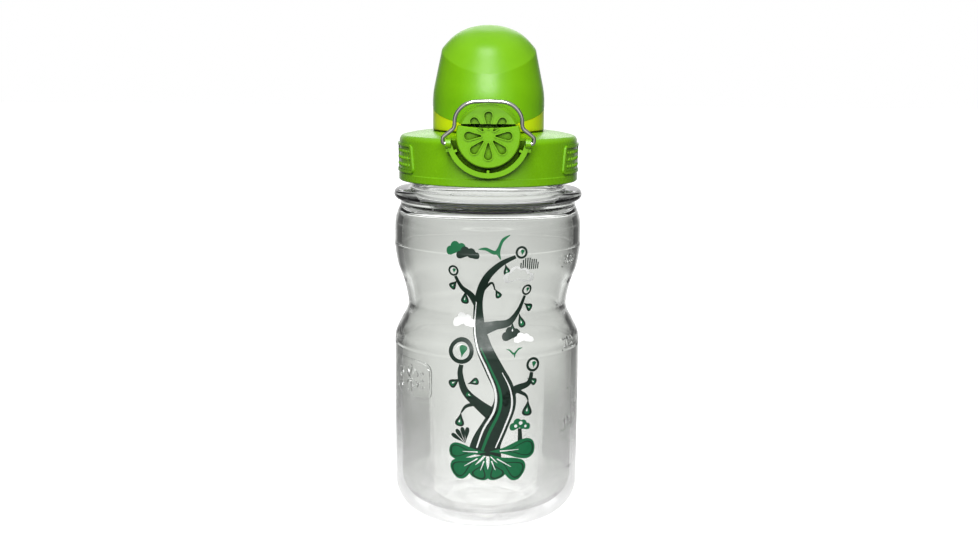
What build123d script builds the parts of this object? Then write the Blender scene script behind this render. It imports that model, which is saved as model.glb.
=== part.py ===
from build123d import *
import os
from math import atan, cos, degrees, radians, sin, sqrt

os.makedirs("parts", exist_ok=True)

# Kids drinking bottle with a screw cap and a push-button flip hood.
# Millimetres. Origin: centre of the standing ring. +Z up, front of the latch towards -Y.

# ---------------------------------------------------------------- bottle
BODY_R = 35.2
WALL = 2.6
BASE_CORNER_R = 12.3
STAND_IN_R = 18.5
PUSH_UP_Z = 2.4
PUSH_UP_R = 14.0
GATE_RING_R = 9.0
GATE_RING_W = 1.0
GATE_RING_H = 0.7
FLOOR_Z = 5.4
FLOOR_RISE = 1.2
FLOOR_CORNER_R = 9.0
WAIST = [
    (35.2, 67.6),
    (34.75, 70.6),
    (32.7, 75.0),
    (30.4, 79.6),
    (30.2, 83.4),
    (31.75, 90.4),
    (34.0, 96.6),
    (35.1, 103.4),
]
UPPER_R = 35.1
SHOULDER_Z = 110.6
SHOULDER_MID = (34.45, 115.2)
GROOVE_R = 32.95
GROOVE_Z = 119.0
BEAD_R = 35.35
BEAD_LOW = 121.0
BEAD_HIGH = 125.2
INNER_SHOULDER = [(26.2, 123.5), (27.4, 119.6), (30.9, 116.7), (32.5, 109.6)]
NECK_R = 28.8
NECK_LOW = 126.3
RIM_Z = 141.4
NECK_WALL = 2.6
NECK_FOOT_R = 0.8
RIM_ROUND_R = 0.6
PITCH = 5.0
NECK_THREAD_R = 30.3
NECK_THREAD_Z = 131.5
NECK_THREAD_TURNS = 1.5
THREAD_ROOT_H = 2.6
THREAD_CREST_H = 1.2
EMBED = 0.3

# ---------------------------------------------------------------- cap
CAP_LOW = 128.3
CAP_R = 33.2
CAP_BAND_R = 33.45
CAP_BAND_TOP = 131.1
CAP_BAND_BEVEL = 0.35
CAP_EDGE_Z = 143.0
CAP_EDGE_R = 2.2
DECK_R = 21.6
DECK_Z = 146.5
DECK_CROWN = (26.3, 146.15)
CAP_BORE_R = 30.75
ROOF_Z = 143.2
CAP_HOLE_R = 17.0
CAP_THREAD_R = 29.2
CAP_THREAD_TURNS = 1.25
CAP_THREAD_DROP = 1.87
CAP_THREAD_ROOT_H = 2.2
CAP_THREAD_CREST_H = 1.0
GASKET_IN_R = 26.4
GASKET_OUT_R = 30.4
GASKET_ROUND_R = 0.5
# side grip panels
PANEL_AZIMUTH = 75
PANEL_W = 25.0
PANEL_H = 10.4
PANEL_Z = 137.0
PANEL_LEAN = 1.6
PANEL_OUT_R = 33.85
PANEL_FRAME = 0.9
PANEL_CORNER_R = 1.6
GRIP_DOT_R = 0.75
GRIP_DOT_SINK = 0.25
GRIP_DOT_STEP = radians(4.2)
GRIP_ROW_STEP = 2.5
GRIP_COLUMNS = 4

# ---------------------------------------------------------------- latch, front of the cap
DISC_R = 11.2
DISC_Z = 146.7
GUARD_IN_R = 13.0
GUARD_OUT_R = 14.8
GUARD_FRONT = -36.4
GUARD_TOP = 144.9
GUARD_L = 9.0
GUARD_FLOOR_L = 5.0
FLOOR_FRONT = -33.3
RIB_W = 0.9
RIB_L = 1.4
RIB_R = 12.7
RIB_ANGLES = (205, 270, 335)
EAR_R = 1.7
EAR_L = 6.5
EAR_DROP = 3.0
PIVOT_Y = -36.0
PIVOT_Z = 144.0
WIRE_R = 0.7
WIRE_CLEAR = 0.08
BAIL_LEAN = radians(9.6)
BAIL_TOP = 14.9
BAIL_CORNERS = [(8.3, 14.5), (11.6, 9.7), (11.75, 5.4), (15.85, 2.1), (15.85, 0)]
BAIL_RADII = (7.6, 6.6, 2.4, 1.4, 0.85)
BAIL_END_X = 13.3
BUTTON_FRONT = -37.0
BUTTON_BACK = -35.0
BUTTON_TOP = 150.3
BUTTON_DIP = 0.9
BUTTON_BEVEL = 0.35
ARM_IN = 6.3
ARM_OUT = 8.0
ARM_LOW = 147.2
ARM_HIGH = 149.7
BAR_FRONT = -29.7
BAR_BACK = -27.4
BAR_LOW = 148.4
SPRING_STOP_FRONT = -22.9
SPRING_STOP_BACK = -21.5
SPRING_STOP_W = 5.0
ARM_CLEAR = 0.12
RAIL_LIP = 0.45
RAIL_X = 8.9
RAIL_Y = -25.2
RAIL_W = 1.4
RAIL_L = 7.0
POST_X = 4.9
POST_Y = -31.3
POST_L = 1.2
FIXTURE_LOW = 143.9
FIXTURE_HIGH = 150.3
SPRING_Z = 149.05
SPRING_COIL_R = 0.95
SPRING_WIRE_R = 0.2
SPRING_TURNS = 5
SPRING_END_GAP = 0.03
BEAK_FRONT = -36.3
BEAK_LOW = 150.75
BEAK_R = 11.0
BEAK_SKIN = 1.8
BEAK_ROOT = 19.8
BEAK_BEVEL = 0.9
NOSE_FRONT = -32.9
NOSE_BACK = -30.7
LEDGE_TIP = -29.8
LEDGE_TOP = 148.2
NOSE_LOW = 147.3
NOSE_HALF = 3.4
NOSE_ROOT = 156.7
NOSE_BEVEL = 0.6
LEDGE_BEVEL = 0.2

# thumb grip: drop-shaped hollows in a ring, each with a fine raised outline
PETALS = 8
PETAL_NEAR = 2.7
PETAL_FAR = 6.9
PETAL_BULB_R = 1.45
PETAL_TIP_R = 0.3
PETAL_DEPTH = 1.0
OUTLINE = 0.42
OUTLINE_H = 0.3

# ---------------------------------------------------------------- hood and mouthpiece
HOOD_R = 20.75
HOOD_WALL = 1.8
SLANT = atan(12.4 / 41.8)
SLANT_Z = 155.5
HOOD_GAP = 0.1
DRAFT_LOW = 157.0
DRAFT_HIGH = 164.0
DRAFT_R = 19.95
DRAFT_SLOPE = 0.2055
CUP_TOP = 187.0
DOME_Y = -0.5
DOME_Z = 174.5
DOME_FOOT_R = 30.0
DOME_FOOT_Z = -13.2
DOME_EDGE = (18.3, 0.6)
DOME_HIGH_SIDE = (15.3, 4.2)
DOME_SHOULDER = (12.0, 7.1)
DOME_CROWN = (6.6, 9.4)
DOME_H = 10.0
CREASE_R = 1.3
GUSSET = [(-2.6, 3.4), (-4.6, 3.4), (-5.2, 10.5), (-3.2, 8.0), (2.6, 1.2), (2.6, 0)]
EAR_FOOT = [(-2.6, -13.5), (5.4, -13.7), (2.6, 0)]
HINGE_Y = 24.2
HINGE_Z = 159.0
KNUCKLE_R = 2.6
HOOD_KNUCKLE_IN = 2.4
HOOD_KNUCKLE_OUT = 5.0
EAR_IN = 5.2
EAR_OUT = 8.2
PIN_R = 1.0
PIN_FIT = 0.01
PIN_RUN = 0.06
COLLAR_R = 20.72
COLLAR_WALL = 1.8
COLLAR_FOOT_R = 0.8
TUBE_R = 12.5
TUBE_BORE_R = 10.3
LIP_Z = 172.0
LIP_ROUND_R = 0.85
WEB_H = 1.8
SNAP_OUT = 0.35
SPIGOT_R = 16.95
SPIGOT_IN_R = 14.0
SPIGOT_LOW = 142.2
ORING_SEAT_R = 15.6
ORING_LOW = 144.2
ORING_HIGH = 145.7
SEAL_R = 14.2
SEAL_BACK_H = 1.4
HOLDER_R = 15.1
HOLDER_WALL = 1.5
HOLDER_RIB = 1.2
SEAL_H = 2.0
SEAL_GAP = 0.02
TORSION_COIL_R = 1.75
TORSION_WIRE_R = 0.25
TORSION_TURNS = 4
TORSION_HALF = 1.24
TORSION_RISE = 4.0
TORSION_REACH = 5.1
TORSION_TIP = 2.4
TORSION_FOOT = 12.1
TORSION_BEND_R = 0.6
SPRING_SLOT_W = 1.4
SPRING_SLOT_L = 8.0
SPRING_SLOT_H = 3.7
PIN_PROUD = 0.3
PIN_BEVEL = 0.2

# lengths that only need to run past the piece they cut or reach into
CUT = 60.0
DEEP = 16.0


def ring_groove(inner, outer, low, high):
    """A plain ring, used for grooves and seals."""
    with BuildPart() as ring:
        with BuildSketch(Plane.XY.offset(low)):
            Circle(outer)
            Circle(inner, mode=Mode.SUBTRACT)
        extrude(amount=high - low)
    return ring.part


def thread(root, crest, root_h, crest_h, turns):
    """A ridge of trapezoid section wound up the Z axis from the +X side."""
    with BuildPart() as ridge:
        with BuildLine() as winding:
            Helix(pitch=PITCH, height=PITCH * turns, radius=root)
        with BuildSketch(Plane.XZ):
            Polygon(
                (root, -root_h / 2),
                (crest, -crest_h / 2),
                (crest, crest_h / 2),
                (root, root_h / 2),
                align=None,
            )
        sweep(path=winding.line, is_frenet=True)
    return ridge.part


def rosette(grow):
    """A ring of plain drops pointing at the middle, each one grown by a margin."""
    with BuildSketch() as drop:
        with Locations((0, PETAL_FAR)):
            Circle(PETAL_BULB_R + grow)
        with Locations((0, PETAL_NEAR)):
            Circle(PETAL_TIP_R + grow)
        make_hull()
    with BuildSketch() as flower:
        with PolarLocations(0, PETALS):
            add(drop.sketch)
    return flower.sketch


# ================================================================ bottle
inner_waist = [(r - WALL, z) for r, z in reversed(WAIST)]
neck_thread = thread(
    NECK_R - EMBED, NECK_THREAD_R, THREAD_ROOT_H, THREAD_CREST_H, NECK_THREAD_TURNS
)
with BuildPart() as bottle:
    with BuildSketch(Plane.XZ):
        with BuildLine():
            Polyline(
                (0, PUSH_UP_Z),
                (GATE_RING_R - GATE_RING_W, PUSH_UP_Z),
                (GATE_RING_R, PUSH_UP_Z - GATE_RING_H),
                (GATE_RING_R + GATE_RING_W, PUSH_UP_Z),
                (PUSH_UP_R, PUSH_UP_Z),
            )
            Line((PUSH_UP_R, PUSH_UP_Z), (STAND_IN_R, 0))
            Line((STAND_IN_R, 0), (BODY_R - BASE_CORNER_R, 0))
            RadiusArc(
                (BODY_R - BASE_CORNER_R, 0), (BODY_R, BASE_CORNER_R), -BASE_CORNER_R
            )
            Line((BODY_R, BASE_CORNER_R), WAIST[0])
            Spline(*WAIST, tangents=[(0, 1), (0, 1)])
            Line(WAIST[-1], (UPPER_R, SHOULDER_Z))
            ThreePointArc((UPPER_R, SHOULDER_Z), SHOULDER_MID, (GROOVE_R, GROOVE_Z))
            Line((GROOVE_R, GROOVE_Z), (GROOVE_R, BEAD_LOW))
            ThreePointArc(
                (GROOVE_R, BEAD_LOW),
                (BEAD_R, (BEAD_LOW + BEAD_HIGH) / 2),
                (GROOVE_R, BEAD_HIGH),
            )
            Line((GROOVE_R, BEAD_HIGH), (NECK_R + NECK_FOOT_R, BEAD_HIGH + 0.3))
            RadiusArc(
                (NECK_R + NECK_FOOT_R, BEAD_HIGH + 0.3), (NECK_R, NECK_LOW), NECK_FOOT_R
            )
            Line((NECK_R, NECK_LOW), (NECK_R, RIM_Z - RIM_ROUND_R))
            RadiusArc(
                (NECK_R, RIM_Z - RIM_ROUND_R), (NECK_R - RIM_ROUND_R, RIM_Z), -RIM_ROUND_R
            )
            Line((NECK_R - RIM_ROUND_R, RIM_Z), (NECK_R - NECK_WALL, RIM_Z))
            Line((NECK_R - NECK_WALL, RIM_Z), INNER_SHOULDER[0])
            Spline(*INNER_SHOULDER, tangents=[(0, -1), (0, -1)])
            Line(INNER_SHOULDER[-1], inner_waist[0])
            Spline(*inner_waist, tangents=[(0, -1), (0, -1)])
            Line(inner_waist[-1], (BODY_R - WALL, FLOOR_Z + FLOOR_CORNER_R))
            RadiusArc(
                (BODY_R - WALL, FLOOR_Z + FLOOR_CORNER_R),
                (BODY_R - WALL - FLOOR_CORNER_R, FLOOR_Z),
                FLOOR_CORNER_R,
            )
            TangentArc(
                (0, FLOOR_Z + FLOOR_RISE),
                (BODY_R - WALL - FLOOR_CORNER_R, FLOOR_Z),
                tangent=(1, 0),
            )
            Line((0, FLOOR_Z + FLOOR_RISE), (0, PUSH_UP_Z))
        make_face()
    revolve(axis=Axis.Z)
    add(Pos(0, 0, NECK_THREAD_Z) * neck_thread)
bottle.part.label = "bottle"
export_step(bottle.part, "parts/bottle.step")


def grip_panel(side):
    """A raised frame that wraps the cap's skirt, one on each side."""
    turn = radians(side * PANEL_AZIMUTH - 90)
    face = Plane(
        origin=(20 * cos(turn), 20 * sin(turn), PANEL_Z),
        x_dir=(-sin(turn), cos(turn), 0),
        z_dir=(cos(turn), sin(turn), 0),
    )
    half_w = PANEL_W / 2
    half_h = PANEL_H / 2
    corners = [
        (-half_w + PANEL_LEAN, half_h),
        (half_w - PANEL_LEAN, half_h),
        (half_w, -half_h),
        (-half_w, -half_h),
    ]
    with BuildPart() as panel:
        with BuildSketch(face) as outline:
            Polygon(*corners, align=None)
            fillet(outline.vertices(), PANEL_CORNER_R)
            offset(amount=-PANEL_FRAME, mode=Mode.SUBTRACT)
        extrude(amount=DEEP)
        add(wrap_ring, mode=Mode.INTERSECT)
    return panel.part


# ================================================================ cap
wrap_ring = ring_groove(CAP_BORE_R + 0.5, PANEL_OUT_R, CAP_LOW, DECK_Z)
grip_panels = [grip_panel(side) for side in (-1, 1)]
cap_thread = thread(
    CAP_BORE_R + EMBED,
    CAP_THREAD_R,
    CAP_THREAD_ROOT_H,
    CAP_THREAD_CREST_H,
    CAP_THREAD_TURNS,
)
with BuildPart() as cap:
    with BuildSketch(Plane.XZ):
        with BuildLine():
            Polyline(
                (CAP_BORE_R + 0.4, CAP_LOW),
                (CAP_BAND_R - CAP_BAND_BEVEL, CAP_LOW),
                (CAP_BAND_R, CAP_LOW + CAP_BAND_BEVEL),
                (CAP_BAND_R, CAP_BAND_TOP - 0.2),
                (CAP_R + 0.05, CAP_BAND_TOP + 0.1),
                (CAP_R, CAP_EDGE_Z),
            )
            RadiusArc(
                (CAP_R, CAP_EDGE_Z),
                (CAP_R - CAP_EDGE_R, CAP_EDGE_Z + CAP_EDGE_R),
                -CAP_EDGE_R,
            )
            ThreePointArc(
                (CAP_R - CAP_EDGE_R, CAP_EDGE_Z + CAP_EDGE_R),
                DECK_CROWN,
                (DECK_R, DECK_Z),
            )
            Polyline(
                (DECK_R, DECK_Z),
                (CAP_HOLE_R, DECK_Z),
                (CAP_HOLE_R, ROOF_Z),
                (CAP_BORE_R, ROOF_Z),
                (CAP_BORE_R, CAP_LOW + 0.4),
                (CAP_BORE_R + 0.4, CAP_LOW),
            )
        make_face()
    revolve(axis=Axis.Z)

    # side grip panels: a raised frame with a field of small domes
    dot_circle = CAP_R - GRIP_DOT_SINK
    for side in (-1, 1):
        for row in (-1, 0, 1):
            stagger = 0.5 * (row % 2)
            for column in range(-GRIP_COLUMNS, GRIP_COLUMNS + 1 - row % 2):
                turn = radians(side * PANEL_AZIMUTH - 90)
                turn += (column + stagger) * GRIP_DOT_STEP
                height = PANEL_Z + row * GRIP_ROW_STEP
                with Locations((dot_circle * cos(turn), dot_circle * sin(turn), height)):
                    Sphere(GRIP_DOT_R)
    add(grip_panels)

    # front guard: a raised U rim with a flat floor and three small ribs
    with BuildSketch(Plane.XZ.offset(-FLOOR_FRONT)) as floor_plate:
        with Locations((0, DISC_Z)):
            Circle(GUARD_IN_R + 0.2)
        with Locations((0, GUARD_TOP)):
            Rectangle(CUT, CUT, align=(Align.CENTER, Align.MIN), mode=Mode.SUBTRACT)
    extrude(amount=-GUARD_FLOOR_L)
    with BuildSketch(Plane.XZ.offset(-GUARD_FRONT)) as rim:
        with Locations((0, DISC_Z)):
            Circle(GUARD_OUT_R)
            Circle(GUARD_IN_R, mode=Mode.SUBTRACT)
        for spoke in RIB_ANGLES:
            out = radians(spoke)
            with Locations((RIB_R * cos(out), DISC_Z + RIB_R * sin(out))):
                Rectangle(RIB_L, RIB_W, rotation=spoke)
        with Locations((0, GUARD_TOP)):
            Rectangle(CUT, CUT, align=(Align.CENTER, Align.MIN), mode=Mode.SUBTRACT)
    extrude(amount=-GUARD_L)
    for side in (-1, 1):
        ear_face = Plane(
            origin=(side * GUARD_IN_R, 0, 0), x_dir=(0, 1, 0), z_dir=(1, 0, 0)
        )
        with BuildSketch(ear_face):
            with Locations((PIVOT_Y, PIVOT_Z)):
                Circle(EAR_R)
                Rectangle(EAR_L, EAR_R, align=(Align.MIN, Align.MIN))
                Rectangle(EAR_L, EAR_DROP, align=(Align.MIN, Align.MAX))
        extrude(amount=side * (GUARD_OUT_R - GUARD_IN_R))
    with BuildSketch(Plane.YZ):
        with Locations((PIVOT_Y, PIVOT_Z)):
            Circle(WIRE_R + WIRE_CLEAR)
    extrude(amount=CUT, both=True, mode=Mode.SUBTRACT)
    # keep the neck space clear behind the guard
    with BuildSketch(Plane.XY.offset(CAP_LOW)):
        Circle(CAP_BORE_R)
    extrude(amount=ROOF_Z - CAP_LOW, mode=Mode.SUBTRACT)

    # button rails, stop posts and spring stop on the deck
    for side in (-1, 1):
        with BuildSketch(Plane.XY.offset(FIXTURE_LOW)):
            with Locations((side * RAIL_X, RAIL_Y)):
                Rectangle(RAIL_W, RAIL_L)
            with Locations((side * POST_X, POST_Y)):
                Rectangle(RAIL_W, POST_L)
        extrude(amount=FIXTURE_HIGH - FIXTURE_LOW)
        with BuildSketch(Plane.XY.offset(ARM_HIGH + ARM_CLEAR)):
            with Locations((side * (RAIL_X - RAIL_LIP), RAIL_Y)):
                Rectangle(RAIL_W + RAIL_LIP, RAIL_L)
        extrude(amount=FIXTURE_HIGH - ARM_HIGH - ARM_CLEAR)
    with BuildSketch(Plane.XY.offset(DECK_Z - EMBED)):
        with Locations((0, (SPRING_STOP_FRONT + SPRING_STOP_BACK) / 2)):
            Rectangle(SPRING_STOP_W, SPRING_STOP_BACK - SPRING_STOP_FRONT)
    extrude(amount=FIXTURE_HIGH - DECK_Z + EMBED)

    # rear hinge ears
    for side in (-1, 1):
        ear_side = Plane(
            origin=(side * EAR_IN, 0, 0), x_dir=(0, 1, 0), z_dir=(1, 0, 0)
        )
        with BuildSketch(ear_side):
            with Locations((HINGE_Y, HINGE_Z)):
                Circle(KNUCKLE_R)
                Polygon((-KNUCKLE_R, 0), *EAR_FOOT, align=None)
        extrude(amount=side * (EAR_OUT - EAR_IN))
    with BuildSketch(Plane.YZ):
        with Locations((HINGE_Y, HINGE_Z)):
            Circle(PIN_R + PIN_FIT)
    extrude(amount=CUT, both=True, mode=Mode.SUBTRACT)

    add(
        Pos(0, 0, NECK_THREAD_Z - CAP_THREAD_DROP + PITCH / 2)
        * Rot(0, 0, 180)
        * cap_thread
    )
cap.part.label = "cap"
export_step(cap.part, "parts/cap.step")

# ================================================================ cap gasket
with BuildPart() as cap_gasket:
    with BuildSketch(Plane.XZ) as gasket_section:
        with Locations(((GASKET_IN_R + GASKET_OUT_R) / 2, (RIM_Z + ROOF_Z) / 2)):
            RectangleRounded(
                GASKET_OUT_R - GASKET_IN_R, ROOF_Z - RIM_Z, GASKET_ROUND_R
            )
    revolve(axis=Axis.Z)
cap_gasket.part.label = "cap_gasket"
export_step(cap_gasket.part, "parts/cap_gasket.step")

# ================================================================ mouthpiece
slant_plane = Plane(
    origin=(0, 0, SLANT_Z), x_dir=(1, 0, 0), z_dir=(0, -sin(SLANT), cos(SLANT))
)
lip_plane = Plane(
    origin=(0, 0, LIP_Z), x_dir=(1, 0, 0), z_dir=(0, -sin(SLANT), cos(SLANT))
)
with BuildPart() as tube:
    with BuildSketch(Plane.XY.offset(SPIGOT_LOW)):
        Circle(TUBE_R)
        Circle(TUBE_BORE_R, mode=Mode.SUBTRACT)
    extrude(amount=CUT)
    split(bisect_by=lip_plane, keep=Keep.BOTTOM)
    fillet(tube.faces().sort_by(Axis.Z)[-1].edges(), LIP_ROUND_R)

with BuildPart() as mouthpiece:
    # collar that fills the gap under the slanted hood edge
    with BuildSketch(Plane.XZ) as collar_section:
        with Locations((COLLAR_R, DECK_Z)):
            Rectangle(COLLAR_WALL, DEEP, align=(Align.MAX, Align.MIN))
        outer_foot = collar_section.vertices().sort_by(Axis.X)[-2:].sort_by(Axis.Y)[0]
        fillet(outer_foot, COLLAR_FOOT_R)
    revolve(axis=Axis.Z)
    split(bisect_by=slant_plane, keep=Keep.BOTTOM)
    # drinking tube with a rounded slanted lip
    add(tube.part)
    # floor web, spigot and snap bead
    with BuildSketch(Plane.XY.offset(DECK_Z)):
        Circle(COLLAR_R - COLLAR_WALL + 0.2)
        Circle(TUBE_BORE_R, mode=Mode.SUBTRACT)
    extrude(amount=WEB_H)
    with BuildSketch(Plane.XY.offset(SPIGOT_LOW)):
        Circle(SPIGOT_R)
        Circle(SPIGOT_IN_R, mode=Mode.SUBTRACT)
    extrude(amount=DECK_Z - SPIGOT_LOW)
    with BuildSketch(Plane.XZ):
        Polygon(
            (SPIGOT_R - 0.3, ROOF_Z - 0.05),
            (SPIGOT_R + SNAP_OUT, ROOF_Z - 0.05),
            (SPIGOT_R, SPIGOT_LOW),
            (SPIGOT_R - 0.3, SPIGOT_LOW),
            align=None,
        )
    revolve(axis=Axis.Z)
    add(
        ring_groove(ORING_SEAT_R, SPIGOT_R + 1, ORING_LOW, ORING_HIGH),
        mode=Mode.SUBTRACT,
    )
mouthpiece.part.label = "mouthpiece"
export_step(mouthpiece.part, "parts/mouthpiece.step")

with BuildPart() as mouthpiece_oring:
    with BuildSketch(Plane.XZ):
        with Locations(((ORING_SEAT_R + CAP_HOLE_R) / 2, (ORING_LOW + ORING_HIGH) / 2)):
            Circle((CAP_HOLE_R - ORING_SEAT_R) / 2)
    revolve(axis=Axis.Z)
mouthpiece_oring.part.label = "mouthpiece_oring"
export_step(mouthpiece_oring.part, "parts/mouthpiece_oring.step")


# ================================================================ hood
def hood_body(inset):
    """Tapered cup closed by a dome that leans forward with the slanted edge."""
    radius = HOOD_R - inset
    draft_r = DRAFT_R - inset
    top_r = draft_r - DRAFT_SLOPE * (CUP_TOP - DRAFT_HIGH)
    with BuildPart() as cup:
        with BuildSketch(Plane.XZ):
            with BuildLine():
                Line((0, DECK_Z), (radius, DECK_Z))
                Line((radius, DECK_Z), (radius, DRAFT_LOW))
                TangentArc((radius, DRAFT_LOW), (draft_r, DRAFT_HIGH), tangent=(0, 1))
                Line((draft_r, DRAFT_HIGH), (top_r, CUP_TOP))
                Line((top_r, CUP_TOP), (0, CUP_TOP))
                Line((0, CUP_TOP), (0, DECK_Z))
            make_face()
        revolve(axis=Axis.Z)

    def moved(point, sideways, down):
        return (point[0] - inset * sideways, point[1] - inset * down)

    foot = (DOME_FOOT_R - inset, DOME_FOOT_Z)
    edge = moved(DOME_EDGE, 1, 0.3)
    with BuildPart() as dome:
        with BuildSketch(Plane.XZ):
            with BuildLine():
                Line((0, -CUT), (foot[0], -CUT))
                Line((foot[0], -CUT), foot)
                Line(foot, edge)
                Spline(
                    edge,
                    moved(DOME_HIGH_SIDE, 0.8, 0.6),
                    moved(DOME_SHOULDER, 0.7, 0.8),
                    moved(DOME_CROWN, 0.4, 0.95),
                    (0, DOME_H - inset),
                    tangents=[(edge[0] - foot[0], edge[1] - foot[1]), (-1, 0)],
                )
                Line((0, DOME_H - inset), (0, -CUT))
            make_face()
        revolve(axis=Axis.Z)
    tilted = Pos(0, DOME_Y, DOME_Z) * Rot(degrees(SLANT), 0, 0) * dome.part
    return cup.part & tilted


hood_outside = hood_body(0)
hood_inside = hood_body(HOOD_WALL)
hood_lining = hood_body(HOOD_WALL - 0.15)
seal_plane = lip_plane.offset(SEAL_H)

# holder for the face seal: a plate with a skirt that runs up to the roof
with BuildPart() as seal_holder:
    with BuildSketch(seal_plane):
        Circle(HOLDER_R)
    extrude(amount=SEAL_BACK_H)
    with BuildSketch(seal_plane):
        Circle(HOLDER_R)
        Circle(HOLDER_R - HOLDER_WALL, mode=Mode.SUBTRACT)
    extrude(amount=DEEP)
    with BuildSketch(seal_plane):
        for spoke in (0, 60, 120):
            Rectangle(2 * SEAL_R, HOLDER_RIB, rotation=spoke)
    extrude(amount=DEEP)
    add(hood_lining, mode=Mode.INTERSECT)

# latch beak over the button, bevelled round its curved front edge
with BuildPart() as beak:
    with BuildSketch(Plane.XZ.offset(-BEAK_FRONT)):
        with Locations((0, DISC_Z)):
            Circle(BEAK_R)
        with Locations((0, BEAK_LOW)):
            Rectangle(CUT, CUT, align=(Align.CENTER, Align.MAX), mode=Mode.SUBTRACT)
    extrude(amount=BEAK_FRONT + BEAK_ROOT)
    beak_face = beak.faces().sort_by(Axis.Y)[0]
    chamfer(beak_face.edges().sort_by(Axis.Z)[1:], BEAK_BEVEL)

with BuildPart() as hood:
    add(hood_outside)
    crease = hood.edges().filter_by(GeomType.BSPLINE)
    fillet(crease, CREASE_R)
    split(bisect_by=slant_plane.offset(HOOD_GAP), keep=Keep.TOP)
    add(beak.part)
    # hinge knuckles with gussets
    for side in (-1, 1):
        knuckle_side = Plane(
            origin=(side * HOOD_KNUCKLE_IN, 0, 0), x_dir=(0, 1, 0), z_dir=(1, 0, 0)
        )
        with BuildSketch(knuckle_side):
            with Locations((HINGE_Y, HINGE_Z)):
                Circle(KNUCKLE_R)
                Polygon((-KNUCKLE_R, 0), *GUSSET, align=None)
        extrude(amount=side * (HOOD_KNUCKLE_OUT - HOOD_KNUCKLE_IN))
    with BuildSketch(Plane.YZ):
        with Locations((HINGE_Y, HINGE_Z)):
            Circle(PIN_R + PIN_RUN)
    extrude(amount=EAR_IN, both=True, mode=Mode.SUBTRACT)
    add(hood_inside, mode=Mode.SUBTRACT)
    add(seal_holder.part)
    # hollow of the beak, open underneath
    with BuildSketch(Plane.XZ.offset(-BEAK_FRONT - BEAK_SKIN)):
        with Locations((0, DISC_Z)):
            Circle(BEAK_R - BEAK_SKIN)
        with Locations((0, BEAK_LOW - 1)):
            Rectangle(CUT, CUT, align=(Align.CENTER, Align.MAX), mode=Mode.SUBTRACT)
    extrude(amount=BEAK_FRONT + BEAK_SKIN + HOOD_R + BEAK_SKIN, mode=Mode.SUBTRACT)
    # catch nose with its ledge
    with BuildSketch(Plane.YZ.offset(-NOSE_HALF)):
        Polygon(
            (NOSE_FRONT, NOSE_ROOT),
            (NOSE_FRONT, NOSE_LOW + NOSE_BEVEL),
            (NOSE_FRONT + NOSE_BEVEL, NOSE_LOW),
            (LEDGE_TIP - LEDGE_BEVEL, NOSE_LOW),
            (LEDGE_TIP, NOSE_LOW + LEDGE_BEVEL),
            (LEDGE_TIP, LEDGE_TOP),
            (NOSE_BACK, LEDGE_TOP),
            (NOSE_BACK, NOSE_ROOT),
            align=None,
        )
    extrude(amount=2 * NOSE_HALF)
    # slot for the torsion spring's upper leg
    with BuildSketch(Plane.XY.offset(HINGE_Z + 1)):
        with Locations((-TORSION_HALF, HINGE_Y - 3)):
            Rectangle(SPRING_SLOT_W, SPRING_SLOT_L)
    extrude(amount=SPRING_SLOT_H, mode=Mode.SUBTRACT)
    # thumb grip hollows that run on from the button
    with BuildSketch(Plane.XZ.offset(-BEAK_FRONT)):
        with Locations((0, DISC_Z)):
            add(rosette(0))
        with Locations((0, BEAK_LOW)):
            Rectangle(CUT, CUT, align=(Align.CENTER, Align.MAX), mode=Mode.SUBTRACT)
    extrude(amount=-PETAL_DEPTH, mode=Mode.SUBTRACT)
    with BuildSketch(Plane.XZ.offset(-BEAK_FRONT)):
        with Locations((0, DISC_Z)):
            add(rosette(OUTLINE))
            add(rosette(0), mode=Mode.SUBTRACT)
        with Locations((0, BEAK_LOW)):
            Rectangle(CUT, CUT, align=(Align.CENTER, Align.MAX), mode=Mode.SUBTRACT)
    extrude(amount=OUTLINE_H)
hood.part.label = "hood"
export_step(hood.part, "parts/hood.step")

# ================================================================ hood seal
with BuildPart() as hood_seal:
    with BuildSketch(lip_plane.offset(SEAL_GAP)):
        Circle(SEAL_R)
    extrude(amount=SEAL_H - SEAL_GAP)
hood_seal.part.label = "hood_seal"
export_step(hood_seal.part, "parts/hood_seal.step")

# ================================================================ hinge pin
with BuildPart() as hinge_pin:
    with BuildSketch(Plane.YZ):
        with Locations((HINGE_Y, HINGE_Z)):
            Circle(PIN_R)
    extrude(amount=EAR_OUT + PIN_PROUD, both=True)
    chamfer(hinge_pin.edges().filter_by(GeomType.CIRCLE), PIN_BEVEL)
hinge_pin.part.label = "hinge_pin"
export_step(hinge_pin.part, "parts/hinge_pin.step")

# ================================================================ hinge torsion spring
coil_start = Plane(
    origin=(-TORSION_HALF, HINGE_Y, HINGE_Z), x_dir=(0, -1, 0), z_dir=(1, 0, 0)
)
coil = coil_start * Helix(
    pitch=2 * TORSION_HALF / TORSION_TURNS,
    height=2 * TORSION_HALF,
    radius=TORSION_COIL_R,
)
bend = coil @ 0 - (coil % 0) * TORSION_RISE
elbow = bend - Vector(0, TORSION_REACH, 0)
upper_leg = FilletPolyline(
    elbow + Vector(0, 0, TORSION_TIP), elbow, bend, coil @ 0, radius=TORSION_BEND_R
)
lower_leg = Line(coil @ 1, coil @ 1 + (coil % 1) * TORSION_FOOT)
spring_wire = Wire([*upper_leg.edges(), coil, lower_leg])
with BuildPart() as hinge_spring:
    with BuildSketch(Plane(origin=spring_wire @ 0, z_dir=spring_wire % 0)):
        Circle(TORSION_WIRE_R)
    sweep(path=spring_wire)
hinge_spring.part.label = "hinge_spring"
export_step(hinge_spring.part, "parts/hinge_spring.step")

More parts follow.
